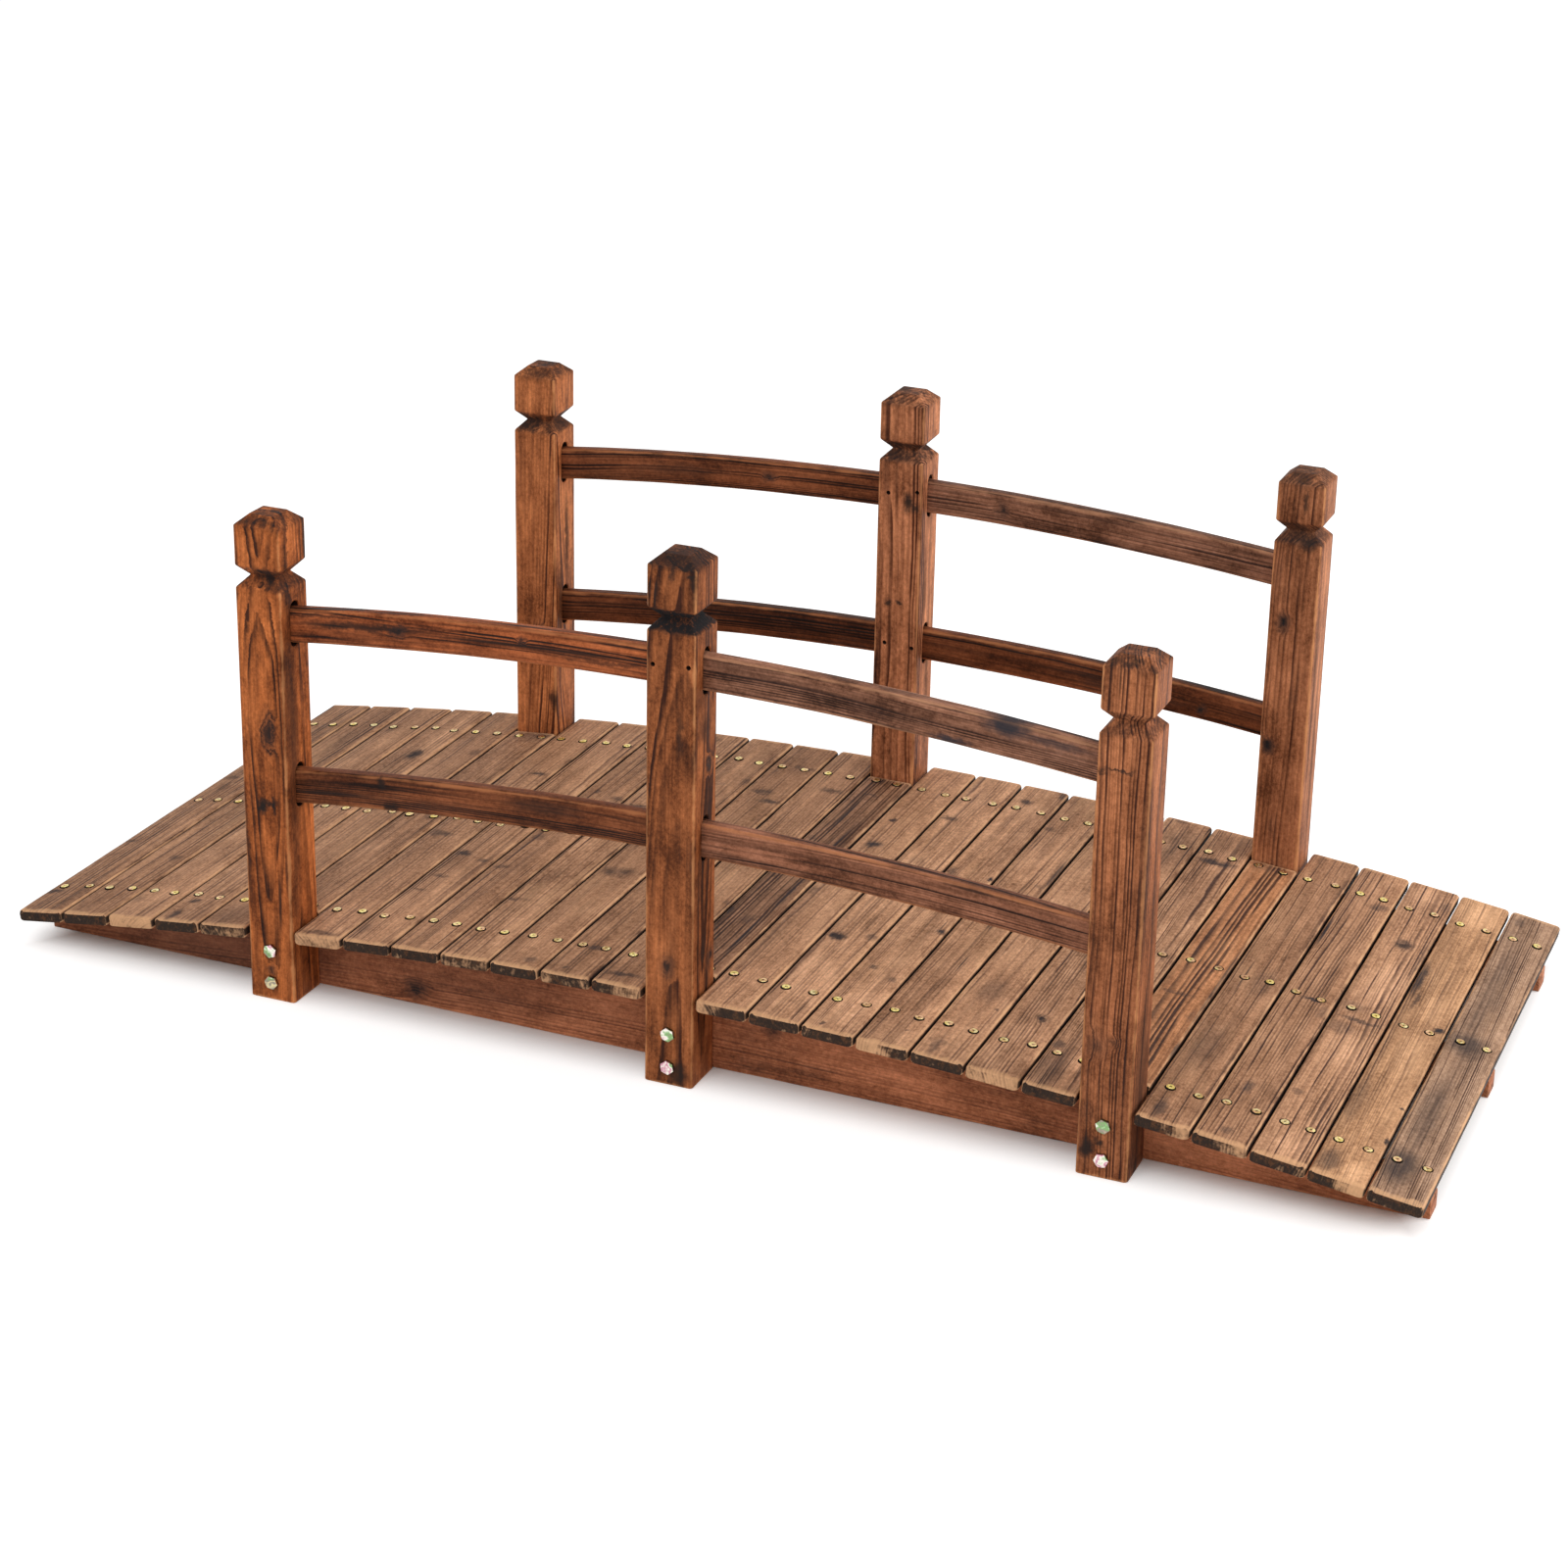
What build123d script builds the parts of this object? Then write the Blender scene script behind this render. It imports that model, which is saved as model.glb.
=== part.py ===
from build123d import *

import math
import os

# Arched garden foot-bridge in scorched softwood, in millimetres.
# X runs along the bridge, Y across it from the front side to the back, Z up.
# The origin is on the ground in the middle of the bridge.

# Deck: boards laid across three stringers whose tops follow one arch
deck_radius = 5000.0
board_width = 54.5
board_gap = 1.75
board_thickness = 12.0
board_edge_round = 4.0
board_lower_ease = 2.0
board_end_ease = 1.5
boards_per_bay = 7
boards_past_post = 5

# Stringers: flat on the ground, arched on top, with clipped tips
stringer_thickness = 28.0
stringer_tip_height = 31.0
stringer_tip_clip = 12.0
stringer_tip_setback = 3.0
stringer_edge_ease = 1.5
outer_stringer_y = 260.0

# Posts: square, bolted to the outer faces of the outer stringers
post_width = 52.0
post_edge_round = 3.5
board_past_post_face = 4.0
post_board_clearance = 0.3
neck_depth = 11.0
neck_land = 1.0
head_side_height = 42.0
crown_inset = 12.0
crown_rise = 10.0

# Rails: arched bars let into blind mortises in the posts
rail_radius = 3700.0
rail_depth = 36.0
rail_thickness = 16.0
rail_edge_ease = 2.5
upper_rail_above_deck = 352.0
lower_rail_above_deck = 178.5
shoulder_above_rail = 24.0
mortise_depth = 20.0
mortise_side_play = 0.5
mortise_end_room = 6.0
rail_end_clearance = 0.3

# Worked out from the driving sizes
board_pitch = board_width + board_gap
step_angle = board_pitch / deck_radius
post_index = boards_per_bay + 1
last_index = post_index + boards_past_post
post_x = deck_radius * math.sin(post_index * step_angle)
deck_end_angle = (last_index * board_pitch + board_width / 2) / deck_radius
stringer_half_length = deck_radius * math.sin(deck_end_angle) - stringer_tip_setback
tip_drop = deck_radius - math.sqrt(deck_radius**2 - stringer_half_length**2)
crown_height = stringer_tip_height + tip_drop
arch_centre_z = crown_height - deck_radius
deck_top = crown_height + board_thickness
post_inner_y = outer_stringer_y + stringer_thickness / 2
post_y = post_inner_y + post_width / 2
board_length = 2 * (post_inner_y + post_width + board_past_post_face)
post_board_length = 2 * (post_inner_y - post_board_clearance)
neck_height = 2 * neck_depth + neck_land
rail_crowns = {
    "upper": deck_top + upper_rail_above_deck,
    "lower": deck_top + lower_rail_above_deck,
}
sides = {"front": -1, "back": 1}


def rail_top_at(crown, x):
    """Height of a rail's top edge at a distance x from mid-span."""
    return crown - rail_radius + math.sqrt(rail_radius**2 - x**2)


def board(length):
    """One deck board along Y, its flat underside at Z = 0: rounded above, eased below and at its ends."""
    end_view = Pos(0, board_thickness / 2) * Rectangle(board_width, board_thickness)
    end_view = fillet(end_view.vertices().group_by(Axis.Y)[-1], board_edge_round)
    end_view = chamfer(end_view.vertices().group_by(Axis.Y)[0], board_lower_ease)
    side_view = Pos(0, board_thickness / 2) * Rectangle(length, board_thickness)
    side_view = chamfer(side_view.vertices().group_by(Axis.Y)[-1], board_end_ease)
    plank = extrude(Plane.XZ * end_view, length / 2, both=True)
    return plank & extrude(Plane.YZ * side_view, board_width, both=True)


def on_arch(solid, index):
    """Lays a board on the stringers' arch, a whole number of pitches from mid-span."""
    angle = index * step_angle
    seat = Pos(deck_radius * math.sin(angle), 0, arch_centre_z + deck_radius * math.cos(angle))
    return seat * Rot(0, math.degrees(angle), 0) * solid


def stringer():
    """A plank on edge: flat below, arched above, with both top tips clipped."""
    half = stringer_half_length
    clip_z = stringer_tip_height - stringer_tip_clip
    clip_x = half - stringer_tip_clip
    arch_end_z = arch_centre_z + math.sqrt(deck_radius**2 - clip_x**2)
    right = [(clip_x, arch_end_z), (half, clip_z), (half, 0)]
    left = [(-x, z) for x, z in reversed(right)]
    arch = ThreePointArc(right[0], (0, crown_height), left[-1])
    side = make_face(Plane.XZ * (Polyline(*right, *left) + arch))
    plank = extrude(side, stringer_thickness / 2, both=True)
    return chamfer(plank.edges().filter_by(GeomType.CIRCLE), stringer_edge_ease)


def post_silhouette(shoulder):
    """Half outline of a post seen square on, mirrored: shaft, V-shaped neck, head block and crown."""
    half = post_width / 2
    waist = half - neck_depth
    head_base = shoulder + neck_height
    head_top = head_base + head_side_height
    right = [
        (half, 0),
        (half, shoulder),
        (waist, shoulder + neck_depth),
        (waist, shoulder + neck_depth + neck_land),
        (half, head_base),
        (half, head_top),
        (half - crown_inset, head_top + crown_rise),
    ]
    left = [(-x, z) for x, z in reversed(right)]
    return make_face(Polyline(*right, *left, close=True))


def mortise(rail_top):
    """The round-ended pocket for one rail end, opening on the plane X = 0 and running towards -X."""
    height = rail_depth + 2 * mortise_end_room
    pocket = SlotOverall(height, rail_thickness + 2 * mortise_side_play, rotation=90)
    return extrude(Plane.YZ * (Pos(0, rail_top - rail_depth / 2) * pocket), -mortise_depth)


def post(x, bays):
    """A post standing at x on the Y = 0 plane, with mortises towards the bays named by -1 and 1."""
    shoulder = rail_top_at(rail_crowns["upper"], x) + shoulder_above_rail
    height = shoulder + neck_height + head_side_height + crown_rise
    outline = post_silhouette(shoulder)
    along = extrude(Plane.XZ * outline, post_width, both=True)
    across = extrude(Plane.YZ * outline, post_width, both=True)
    plan = extrude(RectangleRounded(post_width, post_width, post_edge_round), height)
    shaft = plan & along & across
    for bay in bays:
        face_x = abs(x + bay * post_width / 2)
        for crown in rail_crowns.values():
            pocket = Pos(post_width / 2, 0, 0) * mortise(rail_top_at(crown, face_x))
            shaft -= pocket if bay > 0 else mirror(pocket, Plane.YZ)
    return Pos(x, 0, 0) * shaft


def rail(crown):
    """The right-hand bay's rail: an arched bar from the middle post's mortise to the end post's."""
    start = post_width / 2 - mortise_depth + rail_end_clearance
    end = post_x - post_width / 2 + mortise_depth - rail_end_clearance
    middle = (start + end) / 2
    top = [(x, rail_top_at(crown, x)) for x in (start, middle, end)]
    bottom = [(x, z - rail_depth) for x, z in top]
    arcs = ThreePointArc(*top) + ThreePointArc(*reversed(bottom))
    ends = Line(top[2], bottom[2]) + Line(bottom[0], top[0])
    bar = extrude(make_face(Plane.XZ * (arcs + ends)), rail_thickness / 2, both=True)
    return chamfer(bar.edges().filter_by(GeomType.CIRCLE), rail_edge_ease)


def build():
    """Every piece of the bridge, by name."""
    pieces = {}
    full_board = board(board_length)
    short_board = board(post_board_length)
    for number, index in enumerate(range(-last_index, last_index + 1), start=1):
        blank = short_board if index % post_index == 0 else full_board
        pieces[f"board_{number:02d}"] = on_arch(blank, index)

    plank = stringer()
    for name, y in (("front", -outer_stringer_y), ("middle", 0), ("back", outer_stringer_y)):
        pieces[f"stringer_{name}"] = Pos(0, y, 0) * plank

    posts = {
        "left": post(-post_x, [1]),
        "middle": post(0, [-1, 1]),
        "right": post(post_x, [-1]),
    }
    rails = {level: rail(crown) for level, crown in rail_crowns.items()}
    for side, sign in sides.items():
        for place, shaft in posts.items():
            pieces[f"post_{side}_{place}"] = Pos(0, sign * post_y, 0) * shaft
        for level, bar in rails.items():
            pieces[f"rail_{side}_{level}_right"] = Pos(0, sign * post_y, 0) * bar
            pieces[f"rail_{side}_{level}_left"] = Pos(0, sign * post_y, 0) * mirror(bar, Plane.YZ)
    return pieces


os.makedirs("parts", exist_ok=True)
for name, piece in build().items():
    export_step(piece, f"parts/{name}.step")
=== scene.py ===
import functools
import math
import random

import bmesh
import bpy
from mathutils import Matrix, Vector, noise


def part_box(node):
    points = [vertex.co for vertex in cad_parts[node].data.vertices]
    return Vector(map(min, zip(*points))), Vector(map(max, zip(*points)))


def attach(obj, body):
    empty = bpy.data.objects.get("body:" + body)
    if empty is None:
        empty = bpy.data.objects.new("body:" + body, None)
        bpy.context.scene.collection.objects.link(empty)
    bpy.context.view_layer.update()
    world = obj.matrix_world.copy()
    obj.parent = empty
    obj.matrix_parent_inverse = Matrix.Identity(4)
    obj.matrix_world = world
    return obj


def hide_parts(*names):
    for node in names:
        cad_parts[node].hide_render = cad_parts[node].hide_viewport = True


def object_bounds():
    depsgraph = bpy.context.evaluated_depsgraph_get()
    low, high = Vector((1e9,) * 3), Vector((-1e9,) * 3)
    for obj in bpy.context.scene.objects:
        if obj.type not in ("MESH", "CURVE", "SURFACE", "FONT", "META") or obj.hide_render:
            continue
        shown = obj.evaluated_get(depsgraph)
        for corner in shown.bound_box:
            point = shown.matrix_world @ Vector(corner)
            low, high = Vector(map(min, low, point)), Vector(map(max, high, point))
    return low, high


# Garden moon bridge in scorched softwood. Lengths are in metres, and the wood textures count in millimetres.
# X runs along the bridge, Y across it from the front side to the back, Z up.
MM = 0.001

# Sizes that the frame's boxes don't say
deck_radius = 5.0
rail_radius = 3.7
board_pitch = 56.25 * MM
board_width = 54.5 * MM
board_thickness = 12 * MM
board_edge_round = 4 * MM
board_lower_ease = 2.2 * MM
middle_board = 14
post_edge_round = 3.5 * MM
neck_depth = 11 * MM
neck_land = 1 * MM
head_side_height = 42 * MM
crown_inset = 12 * MM
crown_rise = 10 * MM
mortise_depth = 20 * MM
mortise_side_play = 0.5 * MM
mortise_end_room = 6 * MM
rail_depth = 36 * MM
stringer_tip_clip = 12 * MM
stringer_tip_height = 31 * MM

# Fasteners
screw_head_radius = 4.2 * MM
screw_rows = (-260 * MM, 0.0, 260 * MM)
screw_offset = 14 * MM
screw_hole_radius = 2.3 * MM
bolt_across_flats = 13 * MM
bolt_corner_radius = bolt_across_flats / math.sqrt(3)
bolt_head_height = 3.7 * MM
bolt_heights = (20 * MM, 56 * MM)

# How far apart the sections of boards and stringers are
section_spacing = 14 * MM

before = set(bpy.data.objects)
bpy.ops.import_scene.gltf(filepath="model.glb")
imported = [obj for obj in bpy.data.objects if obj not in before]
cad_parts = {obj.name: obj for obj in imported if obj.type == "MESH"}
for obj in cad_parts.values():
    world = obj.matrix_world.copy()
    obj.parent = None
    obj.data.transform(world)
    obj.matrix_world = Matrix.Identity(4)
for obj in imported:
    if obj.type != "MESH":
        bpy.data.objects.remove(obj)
cad_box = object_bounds()
draws = random.Random(845)


# Node trees

def operators(operation):
    """A math node as two Python operators: one with the value on the left, one with it on the right."""
    return (lambda self, other: self.graph.math(operation, self, other),
            lambda self, other: self.graph.math(operation, other, self))


class Value:
    """A node's output. Arithmetic with it adds nodes to its tree."""

    __add__, __radd__ = operators("ADD")
    __sub__, __rsub__ = operators("SUBTRACT")
    __mul__, __rmul__ = operators("MULTIPLY")
    __truediv__, __rtruediv__ = operators("DIVIDE")

    def __init__(self, graph, socket):
        self.graph = graph
        self.socket = socket


def is_vector(value):
    if isinstance(value, Value):
        return value.socket.type in ("VECTOR", "RGBA")
    return isinstance(value, tuple)


class Graph:
    """Short calls that add nodes to a tree. They take numbers, tuples and values of the same tree."""

    def __init__(self, tree):
        self.tree = tree

    def node(self, kind, **settings):
        made = self.tree.nodes.new(kind)
        for key, value in settings.items():
            setattr(made, key, value)
        return made

    def feed(self, socket, value):
        if isinstance(value, Value):
            self.tree.links.new(value.socket, socket)
        else:
            socket.default_value = value

    def add(self, kind, inputs, output=0, **settings):
        """Adds a node, feeds the inputs that are given by name or number, and gives one output."""
        made = self.node(kind, **settings)
        for key, value in inputs.items():
            self.feed(made.inputs[key], value)
        return Value(self, made.outputs[output])

    def math(self, operation, a, b=0.0):
        """A math node, or a vector math node where a vector comes in; a number scales a vector."""
        if not is_vector(a) and not is_vector(b):
            return self.add("ShaderNodeMath", {0: a, 1: b}, operation=operation)
        if operation == "MULTIPLY" and is_vector(a) != is_vector(b):
            vector, factor = (a, b) if is_vector(a) else (b, a)
            return self.add("ShaderNodeVectorMath", {0: vector, "Scale": factor}, operation="SCALE")
        output = "Value" if operation == "LENGTH" else "Vector"
        inputs = {0: a, 1: b} if is_vector(b) else {0: a}
        return self.add("ShaderNodeVectorMath", inputs, output, operation=operation)

    def largest(self, *values):
        return functools.reduce(lambda a, b: self.math("MAXIMUM", a, b), values)

    def smallest(self, *values):
        return functools.reduce(lambda a, b: self.math("MINIMUM", a, b), values)

    def split(self, vector):
        outputs = self.add("ShaderNodeSeparateXYZ", {0: vector}).socket.node.outputs
        return [Value(self, socket) for socket in outputs]

    def join(self, x, y, z):
        return self.add("ShaderNodeCombineXYZ", {0: x, 1: y, 2: z})

    def step(self, value, low, high):
        """0 where value is at low, 1 where it is at high, and smooth between."""
        return self.add("ShaderNodeMapRange", {0: value, 1: low, 2: high}, interpolation_type="SMOOTHSTEP")

    def fade(self, value, low, high):
        """1 where value is at low, 0 where it is at high, and smooth between."""
        return 1.0 - self.step(value, low, high)

    def noise(self, vector, detail=2.0, roughness=0.5, output="Fac"):
        """Smooth noise about 0.5, one unit of the vector to a blob."""
        inputs = {"Vector": vector, "Scale": 1.0, "Detail": detail, "Roughness": roughness}
        return self.add("ShaderNodeTexNoise", inputs, output)

    def attribute(self, name, output):
        return self.add("ShaderNodeAttribute", {}, output, attribute_name=name)

    def position(self):
        return self.add("ShaderNodeNewGeometry", {}, "Position")

    def seen_by(self, *rays):
        """1 for the named kinds of ray, 0 for others."""
        return self.largest(*[self.add("ShaderNodeLightPath", {}, f"Is {ray} Ray") for ray in rays])

    def mix(self, factor, a, b, blend="MIX"):
        """Goes from colour a to colour b as the factor goes from 0 to 1."""
        made = self.node("ShaderNodeMix", data_type="RGBA", blend_type=blend)
        self.feed(made.inputs["Factor"], factor)
        for socket, value in zip([s for s in made.inputs if s.type == "RGBA"], (a, b)):
            self.feed(socket, value)
        return Value(self, [s for s in made.outputs if s.type == "RGBA"][0])


def srgb(red, green, blue):
    """A colour as seen on a screen, 0 to 255 a channel, in the linear values that shaders take."""
    linear = []
    for channel in (red, green, blue):
        part = channel / 255
        linear.append(part / 12.92 if part <= 0.04045 else ((part + 0.055) / 1.055) ** 2.4)
    return (*linear, 1.0)


# What a piece of wood can set, with the values it has otherwise. Places and lengths are in millimetres,
# in the piece's own frame: along the grain, across it, and through it, from the middle of the piece.
WOOD_INPUTS = {
    "Seed": 0.0,
    "Tone": 1.0,
    "Pith": (0.0, 12.0, -48.0),
    "Tilt": (0.0, 0.0, 0.012),
    "Wander": 6.0,
    "Ring Spacing": 4.0,
    "Grain Strength": 0.8,
    "Streaks": 1.0,
    "Early Wood": srgb(176, 120, 82),
    "Late Wood": srgb(84, 50, 32),
    "Scorch Colour": srgb(58, 44, 40),
    "Char Colour": srgb(30, 27, 28),
    "Ember Colour": srgb(104, 66, 42),
    "Stain Colour": srgb(44, 44, 49),
    "Pale Colour": srgb(222, 172, 128),
    "Worn And Lit Colour": srgb(214, 162, 116),
    "Patches": 0.5,
    "Scorch": 0.4,
    "Pale": 0.0,
    "Worn And Lit Edges": 0.6,
    "Edge Radius": 4.0,
    "Side Shade": 0.0,
    "End Black": 0.8,
    "End Lean": 0.0,
    "End Wear And Highlight": 0.0,
    "Neck Scorch": 0.0,
    "Knot Swirl": 1.6,
    "Swell": 0.0,
    "Heart": 0.0,
    "Halo": 0.0,
    "Stain": 0.0,
    "Glow": 0.0,
    "Roughness": 0.55,
}
ORIGIN = (0.0, 0.0, 0.0)
KNOT_INPUTS = {"Place": ORIGIN, "Centre": ORIGIN, "Radius": 5.0, "Stretch": 1.0, "Darkness": 1.0}
SMUDGE_INPUTS = {"Place": ORIGIN, "Centre": ORIGIN, "Size": (8.0, 8.0, 8.0), "Strength": 0.8}


def socket_type(value):
    if isinstance(value, tuple):
        return "NodeSocketColor" if len(value) == 4 else "NodeSocketVector"
    return "NodeSocketFloat"


def new_group(name, inputs, outputs):
    """A node group with inputs of the given values, and outputs shaped like the given values."""
    tree = bpy.data.node_groups.new(name, "ShaderNodeTree")
    for key, value in inputs.items():
        socket = tree.interface.new_socket(name=key, in_out="INPUT", socket_type=socket_type(value))
        socket.default_value = value
    for key, value in outputs.items():
        tree.interface.new_socket(name=key, in_out="OUTPUT", socket_type=socket_type(value))
    g = Graph(tree)
    entry = g.node("NodeGroupInput")
    given = {key: Value(g, entry.outputs[key]) for key in inputs}
    return g, given, g.node("NodeGroupOutput").inputs


def ragged_place():
    """The piece's own coordinates with a ragged shift, so that marks get uneven outlines."""
    g, _, result = new_group("ragged_place", {}, {"Place": ORIGIN})
    place = g.attribute("place", "Vector")
    swirl = g.noise(place * (1 / 13), detail=4.0, roughness=0.7, output="Color")
    g.feed(result["Place"], place + (swirl - (0.5, 0.5, 0.5)) * (26.0, 13.0, 9.0))


def knot_group():
    """A knot: how far it pushes the growth rings aside, its dark heart and the scorch round it."""
    g, given, result = new_group("knot", KNOT_INPUTS, {"Swell": 0.0, "Heart": 0.0, "Halo": 0.0})
    apart = (given["Place"] - given["Centre"]) * g.join(1.0 / given["Stretch"], 1.0, 1.0)
    reach = g.math("LENGTH", apart) / given["Radius"]
    g.feed(result["Swell"], g.math("EXPONENT", -0.30 * reach * reach))
    g.feed(result["Heart"], g.fade(reach, 0.5, 1.15) * given["Darkness"])
    g.feed(result["Halo"], g.fade(reach, 0.8, 2.9) * given["Darkness"])


def smudge_group():
    """A mark on the wood, dark or light: how strong it is at a place."""
    g, given, result = new_group("smudge", SMUDGE_INPUTS, {"Mark": 0.0})
    apart = (given["Place"] - given["Centre"]) / given["Size"]
    g.feed(result["Mark"], g.fade(g.math("LENGTH", apart), 0.3, 1.3) * given["Strength"])


def scorched_wood():
    """The node group that all the wood shares: growth rings in depth, fibres, scorch, char, wear, and painted
    shade and highlight.
    """
    outputs = {"Color": (0.0, 0.0, 0.0, 1.0), "Roughness": 0.0, "Height": 0.0}
    g, given, result = new_group("scorched_wood", WOOD_INPUTS, outputs)
    place = g.attribute("place", "Vector")
    half = g.attribute("half", "Vector")
    along, across, _ = g.split(place)

    # Depth below each pair of faces; the middle one of the three is the distance to the nearest arris
    depths = g.split(half - g.math("ABSOLUTE", place))
    end_depth, side_depth, top_depth = depths
    arris = end_depth + side_depth + top_depth - g.smallest(*depths) - g.largest(*depths)
    shifted = place + (71.0, 43.0, 29.0) * given["Seed"]

    def field(length, width, detail=3.0, roughness=0.6):
        """Noise about zero, with blobs of so many millimetres along the grain and across it."""
        return g.noise(shifted * (1 / length, 1 / width, 1 / width), detail, roughness) - 0.5

    fibre = field(60, 0.9, detail=2.0)
    streak = field(260, 2.6, detail=2.0, roughness=0.65)
    band = field(320, 11, detail=2.0)
    tone = field(120, 50, detail=4.0, roughness=0.55)
    cloud = field(90, 36, detail=5.0)
    light = field(110, 46)
    blotch = field(34, 12, detail=4.0)
    spot = field(9, 9)
    grit = field(4.5, 3.6, detail=4.0, roughness=0.8)

    # Growth rings about the pith, which leans and wanders
    drift = g.noise(shifted * (1 / 260, 1 / 80, 1 / 80), detail=1.0, output="Color")
    drift = (drift - (0.5, 0.5, 0.5)) * (given["Wander"] * 2.0)
    centred = place - given["Pith"] - given["Tilt"] * along + drift
    radius = g.math("LENGTH", centred * (0.0, 1.0, 1.0))
    push = given["Swell"] * given["Ring Spacing"] * given["Knot Swirl"]
    years = g.noise(g.join(radius / 21.0, given["Seed"], 0.0), detail=1.0)
    radius = radius + push + field(55, 12, detail=2.0) * 1.8 + years * 16.0
    phase = radius / given["Ring Spacing"]
    season = g.math("FRACT", phase)
    year = g.math("FLOOR", phase) + given["Seed"] * 17.3
    chance = g.add("ShaderNodeTexWhiteNoise", {"W": year}, "Value", noise_dimensions="1D")
    late = g.step(season, 0.1, 0.84) * g.fade(season, 0.88, 1.0)
    late *= 0.2 + chance * chance * 1.2
    late *= 0.35 + g.step(field(130, 10, detail=2.0), -0.2, 0.14) * 0.95

    # Sound wood: dark late wood in light early wood, streaked and blotched
    grain = late * given["Grain Strength"] + (streak + band * 1.3) * given["Streaks"] + 0.14
    color = g.mix(grain, given["Early Wood"], given["Late Wood"])
    shade = 1.0 + fibre * 0.7 + grit * 2.2 + spot * 0.5 + given["Glow"] * 0.5
    shade -= (tone * 2.3 + blotch * 1.7) * given["Patches"]
    shade = g.largest(shade, 0.3) * given["Tone"]
    shade = g.join(g.math("POWER", shade, 0.88), shade, g.math("POWER", shade, 1.1))
    color = g.mix(1.0, color, shade, "MULTIPLY")
    pale = g.step(light + streak * 0.5, 0.02, 0.24) * given["Pale"]
    color = g.mix(pale, color, g.mix(late * 0.6, given["Pale Colour"], given["Early Wood"]))

    # Scorch in clouds that follow the grain, stains, and knots
    scorch = g.step(cloud + streak * 0.3 + late * 0.05, 0.06, 0.30) * given["Scorch"]
    color = g.mix(scorch, color, given["Scorch Colour"])
    color = g.mix(given["Stain"], color, given["Stain Colour"])
    color = g.mix(given["Halo"] * 0.55, color, given["Scorch Colour"])
    color = g.mix(given["Heart"] * (0.6 + late * 0.4), color, given["Char Colour"])

    # Posts are burnt black in the neck and on the crown
    from_top = g.split(half)[0] - along
    neck_top = (crown_rise + head_side_height) / MM
    neck_foot = neck_top + (2 * neck_depth + neck_land) / MM
    neck = g.step(from_top, neck_top - 1, neck_top + 3)
    neck *= g.fade(from_top + spot * 8.0, neck_foot - 3, neck_foot + 3)
    crown = g.fade(from_top, 6, 16) * 0.8
    uneven = cloud + streak * 0.6 + blotch * 0.5 + spot * 0.4 + given["Neck Scorch"] * 0.3
    burnt = g.largest(neck, crown) * given["Neck Scorch"] * g.step(uneven, -0.05, 0.32)
    color = g.mix(burnt, color, given["Char Colour"])

    # Charred ends; holes and the sides between boards painted near black as char and painted shade; arrises
    # lightened by wear and painted highlight
    reach = across / 26.0 * given["End Lean"]
    amount = given["End Black"] + reach + cloud * 0.9 + spot * 1.9 + late * 0.15
    end = g.attribute("end_face", "Fac") * g.step(amount, 0.15, 1.0) * 0.97
    ember = g.step(grit + spot, 0.0, 0.25) * 0.6
    color = g.mix(end, color, g.mix(ember, given["Char Colour"], given["Ember Colour"]))
    side = g.fade(side_depth, 0.5, 2.2) * g.step(top_depth, 0.9, 3.2) * given["Side Shade"]
    color = g.mix(side, color, given["Char Colour"])
    # Worn arrises are partly wear and partly a painted highlight on the rounding, and a band by each end is
    # lightened the same way
    edge = given["Edge Radius"]
    worn_and_lit = g.fade(arris + streak * 3.5 + blotch * 7.0, edge * 0.15, edge * 1.1)
    lit = g.fade(end_depth + spot * 12.0 + cloud * 12.0, 2.5, 9.0) * given["End Wear And Highlight"]
    worn_and_lit = g.largest(worn_and_lit, lit) * given["Worn And Lit Edges"]
    worn_and_lit *= 1.0 - given["Stain"] * 0.8
    worn_and_lit *= 1.0 - g.largest(side, end)
    color = g.mix(worn_and_lit, color, g.mix(late * 0.5, given["Worn And Lit Colour"], given["Early Wood"]))
    # Painted shade: countersinks and mortises go near black, partly charred wood and partly shade in the
    # recess
    color = g.mix(g.attribute("cavity", "Fac") * 0.92, color, given["Char Colour"])

    burn = g.largest(scorch, burnt, end, given["Stain"])
    g.feed(result["Color"], color)
    g.feed(result["Roughness"], given["Roughness"] + fibre * 0.3 + burn * 0.18 - late * 0.08 + 0.06)
    height = late * 0.20 + fibre * 0.22 + streak * 0.2 + grit * 0.10
    g.feed(result["Height"], height - given["Heart"] * 0.25)


def knot(along, across, through, radius, stretch=1.0, darkness=1.0):
    """What a knot's node group takes, with its place and radius in millimetres."""
    return {"Centre": (along, across, through), "Radius": radius, "Stretch": stretch, "Darkness": darkness}


def smudge(along, across, through, length, width, strength):
    """What a mark's node group takes, with its place and half sizes in millimetres."""
    size = (length, width, max(width, 6.0))
    return {"Centre": (along, across, through), "Size": size, "Strength": strength}


def gather(g, kind, marks):
    """The strongest of several marks at each place, output by output; only cracks have even outlines."""
    ragged = g.add("ShaderNodeGroup", {}, node_tree=bpy.data.node_groups["ragged_place"])
    plain = g.attribute("place", "Vector")
    strongest = {}
    for mark in marks:
        made = g.node("ShaderNodeGroup", node_tree=bpy.data.node_groups[kind])
        is_crack = "Size" in mark and mark["Size"][1] < 2
        g.feed(made.inputs["Place"], plain if is_crack else ragged)
        for key, value in mark.items():
            made.inputs[key].default_value = value
        for socket in made.outputs:
            found = [strongest[socket.name]] if socket.name in strongest else []
            strongest[socket.name] = g.largest(*found, Value(g, socket))
    return strongest


def new_material(name):
    """A material, its graph and the inputs of its shader."""
    material = bpy.data.materials.new(name)
    material.use_nodes = True
    return material, Graph(material.node_tree), material.node_tree.nodes["Principled BSDF"].inputs


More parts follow.
